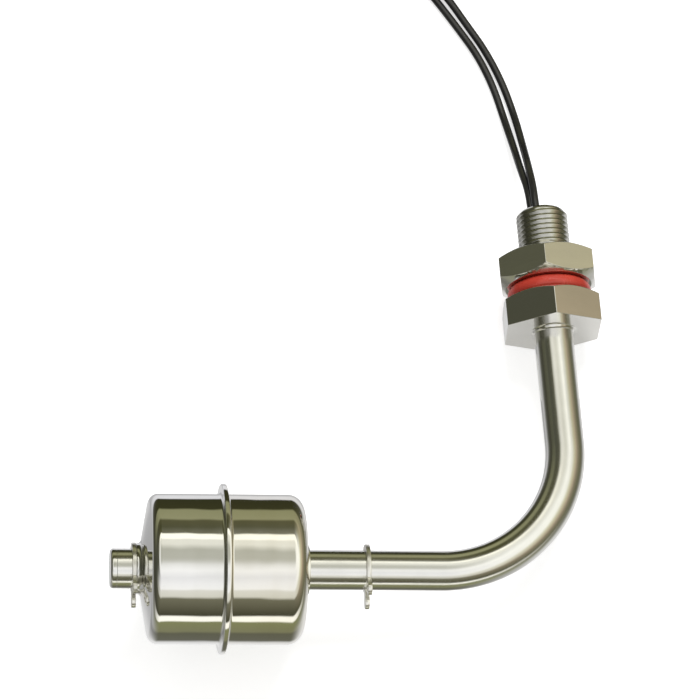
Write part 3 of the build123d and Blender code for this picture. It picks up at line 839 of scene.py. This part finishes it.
world = bpy.data.worlds.new("studio")
scene.world = world
world.use_nodes = True
tree = world.node_tree
tree.nodes.clear()
out = tree.nodes.new("ShaderNodeOutputWorld")
coords = tree.nodes.new("ShaderNodeTexCoord")
split = tree.nodes.new("ShaderNodeSeparateXYZ")
tree.links.new(coords.outputs["Generated"], split.inputs[0])
east, north, height = split.outputs
from_zenith = calc(tree, "DIVIDE", calc(tree, "ARCCOSINE", height), pi)
level = calc(tree, "ADD", calc(tree, "MULTIPLY", east, east), calc(tree, "MULTIPLY", north, north))
level = calc(tree, "MAXIMUM", level, 1e-6)

# What the steel mirrors, by degrees from straight up, towards each side of the room
room = {
    "north": [
        (0, 0.44, 0.44, 0.36),
        (14, 0.46, 0.46, 0.38),
        (21, 0.80, 0.79, 0.68),
        (28, 0.84, 0.83, 0.72),
        (30, 1.25, 1.23, 1.08),
        (37, 1.25, 1.23, 1.05),
        (39, 0.095, 0.093, 0.04),
        (50, 0.06, 0.06, 0.025),
        (62, 0.09, 0.088, 0.04),
        (66, 0.30, 0.30, 0.165),
        (84, 0.28, 0.28, 0.15),
        (88, 0.04, 0.04, 0.015),
        (116, 0.035, 0.035, 0.015),
        (120, 0.80, 0.80, 0.83),
        (132, 0.78, 0.78, 0.80),
        (142, 0.50, 0.50, 0.51),
        (150, 0.48, 0.48, 0.49),
        (162, 0.80, 0.80, 0.80),
        (180, 0.85, 0.85, 0.85),
    ],
    "south": [
        (0, 0.44, 0.44, 0.36),
        (8, 0.52, 0.52, 0.46),
        (14, 0.94, 0.94, 0.92),
        (22, 1.0, 1.0, 0.99),
        (32, 0.86, 0.86, 0.87),
        (42, 0.96, 0.96, 0.96),
        (50, 1.0, 1.0, 0.98),
        (53, 0.78, 0.77, 0.70),
        (62, 0.72, 0.71, 0.62),
        (66, 0.17, 0.165, 0.11),
        (80, 0.12, 0.115, 0.075),
        (94, 0.06, 0.06, 0.035),
        (97, 1.15, 1.13, 1.02),
        (105, 1.15, 1.13, 1.02),
        (108, 0.24, 0.25, 0.12),
        (130, 0.22, 0.22, 0.125),
        (136, 0.13, 0.13, 0.09),
        (160, 0.14, 0.14, 0.11),
        (170, 0.70, 0.70, 0.70),
        (180, 0.85, 0.85, 0.85),
    ],
    "east": [
        (0, 0.44, 0.44, 0.36),
        (14, 0.56, 0.56, 0.49),
        (23, 1.1, 1.1, 1.03),
        (44, 1.1, 1.1, 1.0),
        (50, 0.80, 0.78, 0.58),
        (58, 0.62, 0.57, 0.38),
        (66, 0.52, 0.43, 0.30),
        (74, 0.30, 0.25, 0.17),
        (90, 0.17, 0.165, 0.10),
        (106, 0.14, 0.14, 0.09),
        (118, 0.34, 0.34, 0.31),
        (132, 0.78, 0.78, 0.77),
        (180, 0.85, 0.85, 0.85),
    ],
    "west": [
        (0, 0.44, 0.44, 0.36),
        (12, 0.60, 0.60, 0.54),
        (20, 0.95, 0.95, 0.90),
        (27, 0.80, 0.80, 0.75),
        (33, 0.10, 0.10, 0.07),
        (60, 0.065, 0.067, 0.05),
        (90, 0.05, 0.05, 0.035),
        (105, 0.09, 0.09, 0.07),
        (118, 0.38, 0.38, 0.37),
        (128, 0.46, 0.46, 0.46),
        (140, 0.28, 0.28, 0.28),
        (150, 0.44, 0.44, 0.44),
        (166, 0.80, 0.80, 0.80),
        (180, 0.85, 0.85, 0.85),
    ],
}
total = None
for side, (amount, way) in {
    "north": (north, 1),
    "south": (north, -1),
    "east": (east, 1),
    "west": (east, -1),
}.items():
    toward = calc(tree, "MAXIMUM", calc(tree, "MULTIPLY", amount, way), 0.0)
    share = calc(tree, "DIVIDE", calc(tree, "MULTIPLY", toward, toward), level)
    ramp = tree.nodes.new("ShaderNodeValToRGB")
    tree.links.new(from_zenith, ramp.inputs["Fac"])
    stops = ramp.color_ramp.elements
    while len(stops) > 1:
        stops.remove(stops[-1])
    first, *others = room[side]
    stops[0].position = 0
    stops[0].color = (*first[1:], 1)
    for degrees_down, *colour in others:
        stop = stops.new(degrees_down / 180)
        stop.color = (*colour, 1)
    scaled = tree.nodes.new("ShaderNodeVectorMath")
    scaled.operation = "SCALE"
    tree.links.new(ramp.outputs["Color"], scaled.inputs[0])
    tree.links.new(share, scaled.inputs["Scale"])
    if total is None:
        total = scaled.outputs[0]
    else:
        added = tree.nodes.new("ShaderNodeVectorMath")
        added.operation = "ADD"
        tree.links.new(total, added.inputs[0])
        tree.links.new(scaled.outputs[0], added.inputs[1])
        total = added.outputs[0]

mirrored = tree.nodes.new("ShaderNodeBackground")
tree.links.new(total, mirrored.inputs["Color"])
soft = tree.nodes.new("ShaderNodeBackground")
soft.inputs["Color"].default_value = (1.0, 0.995, 0.98, 1)
soft.inputs["Strength"].default_value = 0.55
plain = tree.nodes.new("ShaderNodeBackground")
plain.inputs["Color"].default_value = (1, 1, 1, 1)
path = tree.nodes.new("ShaderNodeLightPath")
by_gloss = tree.nodes.new("ShaderNodeMixShader")
tree.links.new(path.outputs["Is Glossy Ray"], by_gloss.inputs["Fac"])
tree.links.new(soft.outputs[0], by_gloss.inputs[1])
tree.links.new(mirrored.outputs[0], by_gloss.inputs[2])
direct = calc(tree, "MAXIMUM", path.outputs["Is Camera Ray"], path.outputs["Is Transmission Ray"])
by_view = tree.nodes.new("ShaderNodeMixShader")
tree.links.new(direct, by_view.inputs["Fac"])
tree.links.new(by_gloss.outputs[0], by_view.inputs[1])
tree.links.new(plain.outputs[0], by_view.inputs[2])
tree.links.new(by_view.outputs[0], out.inputs["Surface"])

scene.view_settings.view_transform = "Standard"
